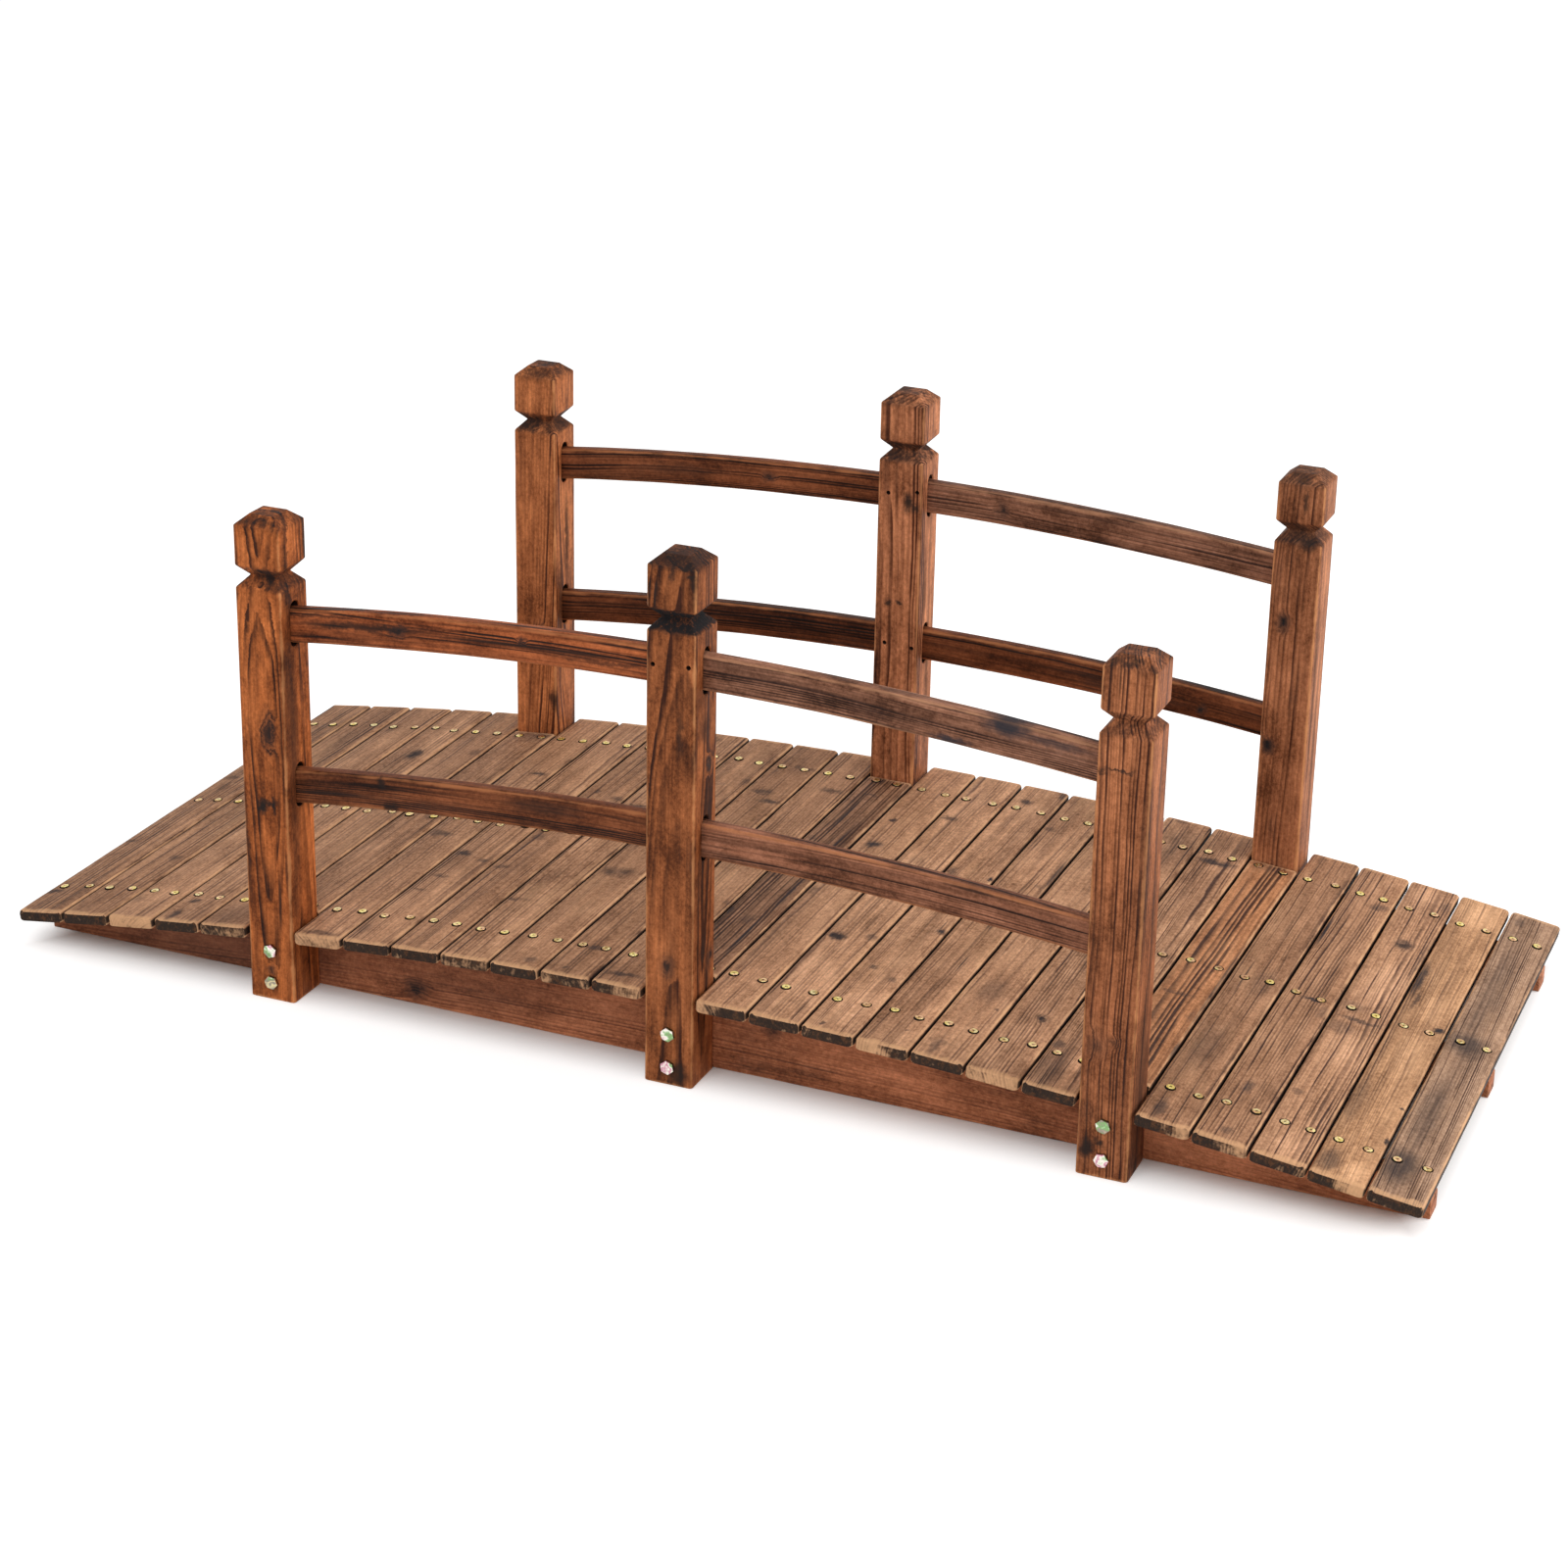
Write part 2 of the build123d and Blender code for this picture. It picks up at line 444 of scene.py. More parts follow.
def wood_material(name, look):
    """A material of its own for one piece, which sets what differs from the shared wood, and its marks."""
    material, g, shader = new_material(name)
    wood = g.node("ShaderNodeGroup", node_tree=bpy.data.node_groups["scorched_wood"])
    for key, value in look.items():
        if key == "Knots":
            for title, strongest in gather(g, "knot", [knot(*mark) for mark in value]).items():
                g.feed(wood.inputs[title], strongest)
        elif key in ("Stain", "Glow"):
            for strongest in gather(g, "smudge", [smudge(*mark) for mark in value]).values():
                g.feed(wood.inputs[key], strongest)
        else:
            wood.inputs[key].default_value = value
    height = Value(g, wood.outputs["Height"])
    bump = {"Strength": 1.0, "Distance": MM, "Height": height}
    g.feed(shader["Base Color"], Value(g, wood.outputs["Color"]))
    g.feed(shader["Roughness"], Value(g, wood.outputs["Roughness"]))
    g.feed(shader["Normal"], g.add("ShaderNodeBump", bump, "Normal"))
    shader["Specular IOR Level"].default_value = 0.12
    return material


# Mesh pieces

def rounded_section(half_across, half_through, radii, steps=4):
    """A rounded rectangle as points (across, through), with radii for the lower right, upper right,
    upper left and lower left corner."""
    corners = ((1, -1, -90), (1, 1, 0), (-1, 1, 90), (-1, -1, 180))
    points = []
    for radius, (side, top, start) in zip(radii, corners):
        for turn in range(steps + 1):
            angle = math.radians(start + 90 * turn / steps)
            points.append((side * (half_across - radius) + radius * math.cos(angle),
                           top * (half_through - radius) + radius * math.sin(angle)))
    return points


def loft(rings):
    """A closed mesh through rings of points, with a flat cap at each end."""
    form = bmesh.new()
    loops = [[form.verts.new(point) for point in ring] for ring in rings]
    for lower, upper in zip(loops, loops[1:]):
        for i in range(len(lower)):
            j = (i + 1) % len(lower)
            form.faces.new((lower[i], lower[j], upper[j], upper[i]))
    form.faces.new(loops[0])
    form.faces.new(loops[-1])
    bmesh.ops.recalc_face_normals(form, faces=form.faces)
    return to_mesh(form)


def to_mesh(form):
    mesh = bpy.data.meshes.new("form")
    form.to_mesh(mesh)
    form.free()
    return mesh


def lathe(profile, steps, matrix=Matrix()):
    """A solid turned about Z from (radius, height) pairs, and then placed by the matrix."""
    turns = [math.tau * i / steps for i in range(steps)]
    return loft([[matrix @ Vector((radius * math.cos(turn), radius * math.sin(turn), height))
                  for turn in turns] for radius, height in profile])


def joined(meshes):
    """One mesh of several."""
    form = bmesh.new()
    for mesh in meshes:
        form.from_mesh(mesh)
    return to_mesh(form)


def add_object(name, mesh):
    made = bpy.data.objects.new(name, mesh)
    bpy.context.scene.collection.objects.link(made)
    return made


def combined(mesh, other, operation="DIFFERENCE"):
    """What a boolean operation makes of a mesh and another one."""
    pair = [add_object("form", mesh), add_object("cutter", other)]
    modifier = pair[0].modifiers.new("cut", "BOOLEAN")
    modifier.operation = operation
    modifier.solver = "EXACT"
    modifier.object = pair[1]
    ready = pair[0].evaluated_get(bpy.context.evaluated_depsgraph_get())
    result = bpy.data.meshes.new_from_object(ready)
    for made in pair:
        bpy.data.objects.remove(made)
    return result


def dress(mesh, material, sharp_from):
    """Gives a mesh one material and smooth faces, with its edges sharp from so many degrees."""
    mesh.materials.clear()
    mesh.materials.append(material)
    for face in mesh.polygons:
        face.use_smooth = True
        face.material_index = 0
    mesh.set_sharp_from_angle(angle=math.radians(sharp_from))


def finish_wood(name, mesh, to_local, half_at, look, is_cavity=lambda point: False):
    """Makes the piece that stands for a node: its own coordinates for the textures, its look and its body."""
    places = [to_local(vertex.co) for vertex in mesh.vertices]
    halves = [half_at(place.x) for place in places]
    for title, values in (("place", places), ("half", halves)):
        layer = mesh.attributes.new(title, "FLOAT_VECTOR", "POINT")
        layer.data.foreach_set("vector", [part / MM for value in values for part in value])
    cavity = []
    end_face = []
    for face in mesh.polygons:
        middle = to_local(face.center)
        outward = to_local(face.center + face.normal * MM) - middle
        cavity.append(float(is_cavity(middle)))
        end_face.append(float(abs(outward.x) > 0.75 * MM))
    for title, values in (("cavity", cavity), ("end_face", end_face)):
        mesh.attributes.new(title, "FLOAT", "FACE").data.foreach_set("value", values)
    dress(mesh, wood_material(name + "_look", look), 38)
    piece = add_object(name + "_wood", mesh)
    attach(piece, "root")
    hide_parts(name)


def wobble(seed, at, size):
    """A smooth random length between minus and plus size, for one place along an edge."""
    return size * noise.noise(Vector((at, seed * 7.31, seed * 3.77)))


def stations(half_length, ends):
    """Places along a piece from end to end, with the given extra places near both ends."""
    inner_half = half_length - ends[-1]
    count = max(2, round(2 * inner_half / section_spacing))
    inner = [2 * inner_half * i / count - inner_half for i in range(count + 1)]
    return [e - half_length for e in ends[:-1]] + inner + [half_length - e for e in reversed(ends[:-1])]


def arch(radius, x):
    """How high an arch stands over its centre at a distance x from its crown."""
    return math.sqrt(radius ** 2 - x ** 2)


# Deck boards, with countersunk screw holes

_, stringer_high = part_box("stringer_middle")
arch_centre = Vector((0, 0, stringer_high.z - deck_radius))


def board_matrix(number):
    """A board's frame: along the grain, along the arch and up, from its middle."""
    angle = (number - middle_board) * board_pitch / deck_radius
    up = Vector((math.sin(angle), 0, math.cos(angle)))
    side = Vector((math.cos(angle), 0, -math.sin(angle)))
    matrix = Matrix((Vector((0, 1, 0)), side, up)).transposed().to_4x4()
    matrix.translation = arch_centre + up * (deck_radius + board_thickness / 2)
    return matrix


def screw_places(half_length):
    """A board's screw places, in its own frame: two at each stringer, a little off their marks and sunk."""
    limit = half_length - 9 * MM
    places = []
    for row in screw_rows:
        for side in (-1, 1):
            along = max(-limit, min(limit, row + draws.uniform(-3, 3) * MM))
            across = side * screw_offset + draws.uniform(-2, 2) * MM
            sunk = draws.choice((-1.3, -1.1, -0.9, -0.6, -0.2)) * MM
            places.append(Vector((along, across, board_thickness / 2 - sunk)))
    return places


def deck_board(number, look):
    """A deck board: rounded upper arrises that wander a little, eased uneven ends and six countersinks."""
    name = f"board_{number:02d}"
    low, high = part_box(name)
    half = Vector(((high.y - low.y) / 2, board_width / 2, board_thickness / 2))
    matrix = board_matrix(number)
    back = matrix.inverted()
    trims = [draws.uniform(0, 1.2) * MM for _ in range(2)]
    corners = [draws.uniform(2.0, 5.5) * MM for _ in range(4)]
    eases = (board_lower_ease, board_edge_round, board_edge_round, board_lower_ease)
    rings = []
    for at in stations(half.x, (0, 0.4 * MM, 1.2 * MM, 2.8 * MM, 6 * MM)):
        end_gap = half.x - abs(at)
        ease = max(0.0, 1.8 * MM - end_gap) * 0.9
        nearness = max(0.0, 1 - end_gap / (30 * MM))
        trim = trims[at > 0] * nearness
        radii = [size + wobble(number + 50 * k, at * 22, 0.3 * size) for k, size in enumerate(eases)]
        across = half.y - wobble(number + 90, at * 14, 0.25 * MM) - 0.15 * MM
        ring = []
        for a, t in rounded_section(across, half.z, radii):
            chip = abs(wobble(number + 30 + math.copysign(9, at), (a + 3 * t) * 160, 1.3 * MM)) * nearness
            corner = corners[(at > 0) * 2 + (a > 0)]
            narrowing = corner - arch(corner, max(0.0, corner - end_gap))
            along = math.copysign(abs(at) - trim - chip, at)
            ring.append(matrix @ Vector((along, a * (1 - narrowing / across), t - (ease if t > 0 else 0))))
        rings.append(ring)
    places = screw_places(half.x)
    rim = screw_head_radius + 1.5 * MM
    countersink = [(screw_head_radius * 0.5, -3.4 * MM), (rim - 0.4 * MM, -0.8 * MM),
                   (rim, 0.0), (rim + 0.4 * MM, 1.0 * MM)]
    cutters = []
    for place in places:
        mouth = Vector((place.x - 0.7 * MM, place.y, half.z))
        cutters.append(lathe(countersink, 18, matrix @ Matrix.Translation(mouth)))

    # Countersink walls are painted near black: charred wood and painted shade in the hole
    def in_hole(point):
        close = min(math.hypot(point.x - place.x, point.y - place.y) for place in places)
        return close < rim + 1 * MM and half.z - 0.15 * MM > point.z > -half.z + 1 * MM

    mesh = combined(loft(rings), joined(cutters))
    finish_wood(name, mesh, lambda p: back @ p, lambda along: half, look, in_hole)
    return [(matrix, place) for place in places]


# Stringers and rails

def stringer(name, look):
    """A plank on edge: flat below, arched above, with clipped tips and eased edges."""
    low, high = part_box(name)
    half_length = (high.x - low.x) / 2
    middle_y = (low.y + high.y) / 2
    half_thickness = (high.y - low.y) / 2
    clip_x = half_length - stringer_tip_clip

    def top_at(x):
        whole = arch_centre.z + arch(deck_radius, min(abs(x), clip_x))
        clip_slope = (whole - stringer_tip_height + stringer_tip_clip) / stringer_tip_clip
        return whole - max(0.0, abs(x) - clip_x) * clip_slope

    rings = []
    for at in stations(half_length, (0, 0.5 * MM, stringer_tip_clip)):
        half_height = top_at(at) / 2
        tip = max(0.0, 0.5 * MM - (half_length - abs(at)))
        radii = [(1.6 + wobble(middle_y * 30 + k, at * 18, 0.7)) * MM for k in range(4)]
        section = rounded_section(half_height - tip, half_thickness - tip, radii, 3)
        rings.append([Vector((at, middle_y + t, half_height + a)) for a, t in section])

    def to_local(point):
        return Vector((point.x, point.z - top_at(point.x) / 2, point.y - middle_y))

    def half_at(x):
        return Vector((half_length, top_at(x) / 2, half_thickness))

    finish_wood(name, loft(rings), to_local, half_at, look)


def rail_centre_z(low, high):
    """Height of the centre of a rail's arch, from the corners of the rail's box."""
    return high.z - arch(rail_radius, min(abs(low.x), abs(high.x)))


def rail(name, look):
    """An arched bar between two mortises."""
    low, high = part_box(name)
    near, far = sorted((abs(low.x), abs(high.x)))
    sign = 1 if high.x > abs(low.x) else -1
    centre_z = rail_centre_z(low, high)
    depth = centre_z + arch(rail_radius, far) - low.z
    middle_y = (low.y + high.y) / 2
    middle_radius = rail_radius - depth / 2
    half = Vector(((far - near) / 2, depth / 2, (high.y - low.y) / 2))
    seed = sum(map(ord, name)) % 97

    def to_local(point):
        radius = math.hypot(point.x, point.z - centre_z)
        angle = math.atan2(sign * point.x, point.z - centre_z)
        return Vector((angle * middle_radius - (near + far) / 2, radius - middle_radius, point.y - middle_y))

    rings = []
    count = 30
    for i in range(count + 1):
        x = near + (far - near) * i / count
        radii = [(3.6 + wobble(seed + k * 5, x * 20, 0.9)) * MM for k in range(4)]
        rings.append([Vector((sign * x, middle_y + t, centre_z + arch(middle_radius + a, x)))
                      for a, t in rounded_section(half.y, half.z, radii, 3)])
    finish_wood(name, loft(rings), to_local, lambda along: half, look)


# Posts, with necked heads and blind mortises

def post_levels(top, half_width):
    """Heights up a post and its half width there: shaft, V-shaped neck, head and crown, edges softened."""
    head_top = top - crown_rise
    head_base = head_top - head_side_height
    shoulder = head_base - 2 * neck_depth - neck_land
    waist = half_width - neck_depth
    crown_half = half_width - crown_inset
    slope = math.hypot(crown_inset, crown_rise)
    foot = 0.8 * MM
    soft = 1.6 * MM
    shaft_count = 34
    shaft_step = (shoulder - soft - foot) / shaft_count
    head_step = (head_side_height - 2 * soft) / 4
    return [
        (0, half_width - foot),
        (foot, half_width),
        *[(foot + shaft_step * i, half_width) for i in range(1, shaft_count + 1)],
        (shoulder - 0.2 * soft, half_width - 0.12 * soft),
        (shoulder + 0.5 * soft, half_width - 0.62 * soft),
        (shoulder + neck_depth, waist),
        (shoulder + neck_depth + neck_land, waist),
        (head_base - 0.5 * soft, half_width - 0.62 * soft),
        (head_base + 0.2 * soft, half_width - 0.12 * soft),
        *[(head_base + soft + head_step * i, half_width) for i in range(5)],
        (head_top - 0.15 * soft, half_width - 0.12 * soft),
        (head_top + 0.6 * soft, half_width - 0.9 * soft),
        (top - 0.5 * soft, crown_half + 0.6 * soft * crown_inset / slope),
        (top - 0.12 * soft, crown_half + 0.1 * soft),
        (top, crown_half - 0.7 * soft),
    ]


def post(name, look, bays, holes):
    """A square post, less its mortises and the screw holes in its front face, at (x, z) in millimetres."""
    low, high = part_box(name)
    centre = (low + high) / 2
    half_width = (high.x - low.x) / 2
    half = Vector((high.z / 2, half_width, half_width))
    seed = sum(map(ord, name)) % 89
    rings = []
    for z, level in post_levels(high.z, half_width):
        rounding = post_edge_round / MM if level > half_width - 1.5 * MM else 1.8
        radii = [(rounding + wobble(seed + k * 9, z * 16, 0.7)) * MM for k in range(4)]
        section = rounded_section(level, level, radii)
        rings.append([Vector((centre.x + a, centre.y + t, z)) for a, t in section])

    cutters = []
    for bay, rails in bays:
        for rail_name in rails:
            cutters.append(mortise(rail_name, centre.x + bay * half_width, bay))
    hole = [(screw_hole_radius * 1.25, 0.6 * MM), (screw_hole_radius, -0.5 * MM),
            (screw_hole_radius * 0.9, -9 * MM)]
    for x, z in holes:
        mouth = Matrix.Translation((x * MM, low.y, z * MM))
        cutters.append(lathe(hole, 14, mouth @ Matrix.Rotation(math.radians(90), 4, "X")))
    top_mortise_limit = high.z - crown_rise - head_side_height - 2 * neck_depth - neck_land - 6 * MM

    def to_local(point):
        return Vector((point.z - centre.z, point.x - centre.x, point.y - centre.y))

    def in_hole(point):
        inside = half_width - max(abs(point.y), abs(point.z))
        return inside > 1.3 * MM and 2 * MM < point.x + centre.z < top_mortise_limit

    mesh = combined(loft(rings), joined(cutters))
    finish_wood(name, mesh, to_local, lambda along: half, look, in_hole)


def mortise(rail_name, face_x, bay):
    """The round-ended pocket round a rail's end, with a slightly flared mouth."""
    low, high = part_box(rail_name)
    middle_y = (low.y + high.y) / 2
    radius = (high.y - low.y) / 2 + mortise_side_play
    middle_z = rail_centre_z(low, high) + arch(rail_radius, face_x) - rail_depth / 2
    straight = rail_depth / 2 + mortise_end_room - radius
    steps = 24
    rings = []
    for inward, flare in ((-1 * MM, 1.0 * MM), (0.0, 0.8 * MM), (1.0 * MM, 0.0), (mortise_depth, 0.0)):
        ring = []
        for i in range(steps):
            angle = math.tau * (i + 0.5) / steps
            y = (radius + flare) * math.cos(angle)
            z = (radius + flare) * math.sin(angle) + math.copysign(straight, math.sin(angle))
            ring.append(Vector((face_x - bay * inward, middle_y + y, middle_z + z)))
        rings.append(ring)
    return loft(rings)


# Screws and bolts

def add_fasteners(name, templates, places, material):
    """One piece of many like fasteners, each placed by its matrix, with a tint of its own."""
    form = bmesh.new()
    tint = form.verts.layers.float.new("tint")
    sunk = form.verts.layers.float.new("sunk")
    highest = max(vertex.co.z for mesh in templates for vertex in mesh.vertices)
    for matrix in places:
        value = draws.random()
        for mesh in templates:
            start = len(form.verts)
            form.from_mesh(mesh)
            form.verts.ensure_lookup_table()
            for vertex in form.verts[start:]:
                vertex[sunk] = (highest - vertex.co.z) / MM
                vertex.co = matrix @ vertex.co
                vertex[tint] = value
    piece = add_object(name, to_mesh(form))
    dress(piece.data, material, 30)
    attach(piece, "root")


def screw_template():
    """A countersunk head with a cross recess, its top at Z = 0."""
    head = lathe([
        (1.9 * MM, -2.4 * MM),
        (screw_head_radius - 0.1 * MM, -0.45 * MM),
        (screw_head_radius, -0.3 * MM),
        (screw_head_radius - 0.15 * MM, -0.08 * MM),
        (screw_head_radius - 0.7 * MM, 0.0),
    ], 24)
    arm, blade = 2.0 * MM, 0.42 * MM
    for turned in (False, True):
        rings = []
        for depth, shrink in ((0.2 * MM, 1.0), (-1.5 * MM, 0.45)):
            reach = arm * shrink
            corners = ((reach, blade), (-reach, blade), (-reach, -blade), (reach, -blade))
            rings.append([Vector((y, x, depth) if turned else (x, y, depth)) for x, y in corners])
        head = combined(head, loft(rings))
    return head


def bolt_template():
    """A hexagon head standing on Z = 0, its top face chamfered round."""
    head = lathe([(bolt_corner_radius, -1 * MM), (bolt_corner_radius, bolt_head_height)], 6)
    envelope = lathe([
        (bolt_corner_radius * 1.5, -2 * MM),
        (bolt_corner_radius * 1.5, bolt_head_height - 2.4 * MM),
        (bolt_across_flats * 0.475, bolt_head_height),
    ], 36)
    return combined(head, envelope, "INTERSECT")


def nut_templates():
    """A washer on Z = 0, a nut on it and the bolt's end through both."""
    return [
        lathe([(8 * MM, -0.3 * MM), (8 * MM, 1.2 * MM), (7.6 * MM, 1.5 * MM)], 24),
        lathe([(bolt_corner_radius, 1 * MM), (bolt_corner_radius, 7 * MM),
               (bolt_corner_radius - 0.8 * MM, 7.6 * MM)], 6),
        lathe([(4 * MM, 1 * MM), (4 * MM, 10 * MM), (3.2 * MM, 11 * MM)], 24),
    ]


def metal_material(name, colours, roughness, painted_shade_depths):
    """Zinc plate: a tint for each head, stained, and painted darker from one depth below its top to another,
    a painted shade on the recess and the sides.
    """
    material, g, shader = new_material(name)
    stain = g.noise(g.position() * 110.0) - 0.5
    fine = g.noise(g.position() * 1700.0)
    ramp = g.node("ShaderNodeValToRGB")
    elements = ramp.color_ramp.elements
    while len(elements) < len(colours):
        elements.new(0.5)
    for i, (element, colour) in enumerate(zip(elements, colours)):
        element.position = i / (len(colours) - 1)
        element.color = colour
    g.feed(ramp.inputs[0], g.math("PINGPONG", g.attribute("tint", "Fac") + stain * 2.4, 1.0))
    # Painted shade: the head goes dark brown below its top, in the cross recess and down its sides, where
    # shade falls
    painted_shade = g.step(g.attribute("sunk", "Fac"), *painted_shade_depths) * 0.92
    g.feed(shader["Base Color"], g.mix(painted_shade, Value(g, ramp.outputs[0]), srgb(38, 30, 24)))
    g.feed(shader["Roughness"], roughness + fine * 0.2)
    shader["Metallic"].default_value = 1.0
    return material


# Looks of the wood, kind by kind and piece by piece

ragged_place()
knot_group()
smudge_group()
scorched_wood()

board_look = {
    "Early Wood": srgb(204, 152, 115),
    "Late Wood": srgb(78, 50, 38),
    "Worn And Lit Colour": srgb(232, 180, 134),
    "Worn And Lit Edges": 0.9,
    "Edge Radius": 2.8,
    "Side Shade": 0.95,
    "Wander": 4.0,
    "Knot Swirl": 0.9,
    "End Wear And Highlight": 0.8,
    "Roughness": 0.6,
}
# Dark marks that show on the deck, board by board: along the board from its middle, across it, half length,
# half width, and darkness. Marks narrower than 2 are cracks.
deck_marks = {
    1: [(-275, -17, 7, 10, 0.8), (-127, -17, 4, 10, 0.55), (72, -13, 8, 13, 0.5)],
    2: [(-170, 12, 8, 9, 0.5), (210, 4, 60, 10, 0.25)],
    3: [(-283, -19, 10, 8, 0.35), (250, -12, 14, 8, 0.3)],
    4: [(-315, -10, 16, 7, 0.8), (-278, -8, 7, 6, 0.8), (173, 5, 18, 9, 0.85)],
    5: [(194, 17, 12, 8, 0.35), (-300, 0, 30, 25, 0.3)],
    6: [(-3, 8, 9, 8, 0.4), (262, 8, 22, 26, 0.55)],
    7: [(-44, -9, 8, 16, 0.6), (-225, 4, 95, 1, 0.5), (149, 11, 6, 12, 0.8), (-322, 0, 8, 25, 0.6)],
    8: [(-297, -17, 12, 8, 0.35), (-192, -14, 5, 10, 0.45), (-150, -8, 4, 11, 0.6), (-88, -15, 10, 9, 0.85),
        (-102, 15, 7, 7, 0.65), (249, 11, 5, 6, 0.35)],
    9: [(-109, -14, 5, 9, 0.55), (-23, -14, 12, 9, 0.5), (118, -10, 5, 4, 0.6), (104, 19, 9, 10, 0.6)],
    10: [(-182, -19, 6, 8, 0.6), (-180, -7, 3, 8, 0.35), (91, -7, 4, 20, 0.7), (308, -4, 5, 5, 0.35)],
    11: [(-311, 10, 6, 8, 0.5), (-82, -4, 14, 18, 0.25), (184, -4, 8, 7, 0.35), (203, 22, 12, 6, 0.45)],
    12: [(-314, -7, 6, 5, 0.7), (-285, -6, 32, 1.2, 0.6), (-261, 1, 5, 12, 0.6), (180, -7, 6, 14, 0.6),
         (198, -26, 8, 4, 0.7), (158, 13, 6, 14, 0.8), (261, 10, 6, 16, 0.5)],
    13: [(-306, -2, 6, 22, 0.7), (-109, 23, 5, 6, 0.4), (213, 8, 8, 16, 0.65)],
    14: [(-170, 14, 60, 1.9, 0.8), (60, 12, 90, 1.9, 0.7), (160, -8, 50, 1.9, 0.8), (-60, 16, 50, 3, 0.6),
         (-123, -23, 10, 5, 0.6), (-135, 1, 12, 10, 0.4), (220, -3, 4, 10, 0.5), (84, -18, 8, 6, 0.35)],
    15: [(-42, -20, 8, 6, 0.5), (95, -6, 9, 10, 0.9), (165, -12, 5, 5, 0.9)],
    16: [(-132, -13, 10, 10, 0.9), (-121, 20, 9, 8, 0.5), (198, -13, 6, 11, 0.7), (77, -8, 12, 12, 0.2)],
    17: [(-318, -10, 5, 4, 0.8), (-181, -10, 5, 4, 0.7), (-199, 17, 8, 5, 0.5), (-76, 22, 7, 6, 0.9),
         (-60, 19, 16, 1, 0.7), (70, -20, 12, 6, 0.6), (70, 23, 8, 4, 1.0), (282, -8, 8, 9, 0.8),
         (318, 22, 10, 6, 0.6)],
    18: [(-291, 12, 3, 3, 0.6), (-130, 9.5, 26, 1, 0.85), (-40, 7, 9, 1, 0.7), (225, -19, 6, 9, 0.45),
         (79, 19, 6, 6, 0.35), (120, 25, 70, 1.8, 0.8)],
    19: [(-309, -10, 22, 6, 0.5), (-295, -8, 6, 14, 0.35), (-171, 0, 30, 15, 0.35), (-209, 17, 3.5, 3, 0.6)],
    20: [(-200, 6, 8, 5.5, 0.85), (322, -7, 6, 10, 0.5), (245, 10, 70, 16, 0.25)],
    21: [(-242, -18, 10, 7, 0.6), (-290, -10, 60, 15, 0.4), (240, -1, 8, 24, 0.85), (-4, 14, 14, 9, 0.35)],
    22: [(-75, -7, 4, 20, 0.5), (-30, 25, 120, 1.8, 0.8), (-190, 26, 24, 1.9, 0.9), (-116, 21, 16, 5, 0.4),
         (262, 0, 16, 26, 0.35)],
    23: [(-306, -9, 24, 8, 0.65), (-165, -5, 60, 14, 0.35), (2, -13, 45, 1, 0.8), (-5, 8, 35, 16, 0.3)],
    24: [(-309, 0, 8, 8, 0.45), (-218, -4, 14, 7, 0.6), (-9, 3, 4, 13, 0.85), (-27, 20, 16, 6, 0.4),
         (150, -23, 42, 1.8, 0.95), (239, 13, 8, 12, 0.55)],
    25: [(-199, -16, 5, 9, 0.45), (-23, 0, 4, 27, 0.6), (-47, -12, 14, 16, 0.35), (4, -12, 14, 14, 0.35),
         (170, 1, 11, 11, 0.75), (146, 24, 60, 3, 0.5), (287, 22, 18, 8, 0.4)],
    26: [(-302, -14, 26, 12, 0.6), (-180, -18, 60, 8, 0.4), (-235, 24, 8, 3, 0.9), (-166, 24, 5, 3, 0.9),
         (10, 20, 7, 7, 0.95), (108, -23, 45, 6, 0.8), (57, -16, 25, 3, 0.6)],
    27: [(-270, -10, 40, 18, 0.75), (-160, -8, 90, 14, 0.45), (0, -6, 30, 22, 0.7), (120, -8, 120, 14, 0.35),
         (305, -15, 10, 6, 0.4)],
}
# Lighter places, given in the same way
deck_glows = {
    4: [(240, 10, 70, 14, 0.4)],
    7: [(-310, -18, 14, 6, 0.8), (-312, 14, 12, 5, 0.7)],
    10: [(-220, 10, 90, 14, 0.45)],
    13: [(-300, 18, 30, 8, 0.5), (-60, 0, 50, 20, 0.4)],
    15: [(-90, 12, 70, 12, 0.35)],
    16: [(-240, 5, 80, 20, 0.4), (240, -5, 70, 12, 0.3)],
    17: [(-260, 5, 60, 12, 0.4)],
    19: [(-90, 0, 50, 20, 0.4)],
    24: [(-95, 0, 30, 25, 0.3), (310, 12, 15, 14, 0.6)],
    25: [(-85, 0, 40, 24, 0.8), (62, 2, 60, 24, 1.1), (300, -5, 28, 20, 0.8), (-305, 5, 30, 20, 0.5)],
    26: [(-310, 12, 25, 14, 1.0), (-60, 6, 70, 16, 0.8), (45, 5, 40, 18, 0.8), (295, 0, 50, 25, 1.2)],
    27: [(-260, 18, 34, 9, 0.7), (-120, 16, 100, 10, 0.6), (40, 18, 40, 8, 0.3)],
}
# Round knots, board by board: along, across and radius
deck_knots = {
    11: [(-82, -12, 6), (-80, 5, 6.5)], 16: [(-132, -13, 5)], 20: [(-200, 6, 4.5)], 25: [(170, 1, 5)],
    4: [(173, 5, 5)],
}
# How light each board is, where it isn't 0.95
deck_tones = {
    1: 0.78, 2: 0.77, 4: 0.92, 5: 0.85, 6: 0.83, 9: 0.79, 11: 0.77, 12: 0.74, 13: 0.84, 15: 1.0, 16: 1.14,
    17: 1.06, 19: 0.94, 20: 0.96, 21: 0.98, 23: 0.77, 24: 0.85, 25: 1.01, 26: 0.92, 27: 0.8,
}
